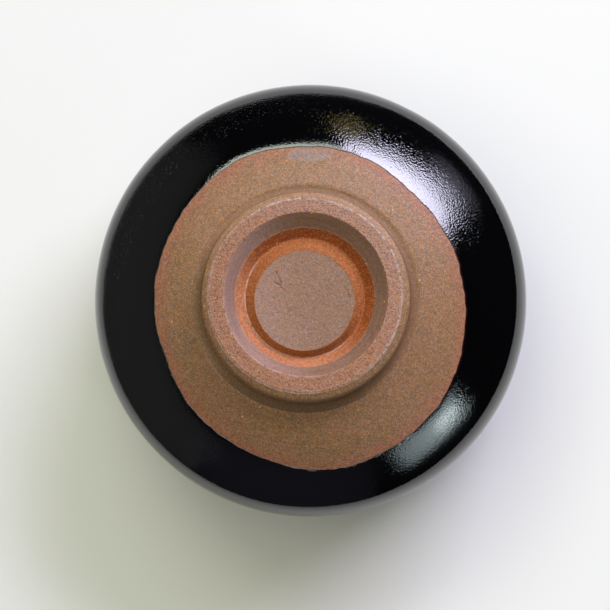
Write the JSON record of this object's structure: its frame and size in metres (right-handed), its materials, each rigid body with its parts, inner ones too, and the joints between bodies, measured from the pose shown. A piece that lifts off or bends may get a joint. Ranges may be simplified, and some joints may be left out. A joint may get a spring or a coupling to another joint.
{
  "type": "matcha bowl",
  "caption": "Round tea bowl for whisked tea, of dark iron clay under glossy black glaze, stored mouth down on its rim with the bare trimmed foot on top.",
  "frame": {"origin": "centre of the rim plane, the lowest plane of the part: the bowl is stored mouth down as the picture shows it, so turn it 180 degrees about X to use it", "axes": "+Z along the bowl's axis from the rim to the foot; +X and +Y are any two directions across it, and the bare clay reaches furthest out a little clockwise of -Y seen from the foot"},
  "size_m": [0.1219, 0.122, 0.076],
  "materials": {
    "iron_clay": "bare iron-rich stoneware, sandy and matt, trimmed with a tool, burnt orange in the groove of the foot",
    "black_glaze": "thick glossy black glaze with a fine orange-peel surface"
  },
  "bodies": {
    "root": {"clay_body": "iron_clay", "outer_glaze": "black_glaze", "rim_glaze": "black_glaze", "inner_glaze": "black_glaze"}
  },
  "joints": []
}
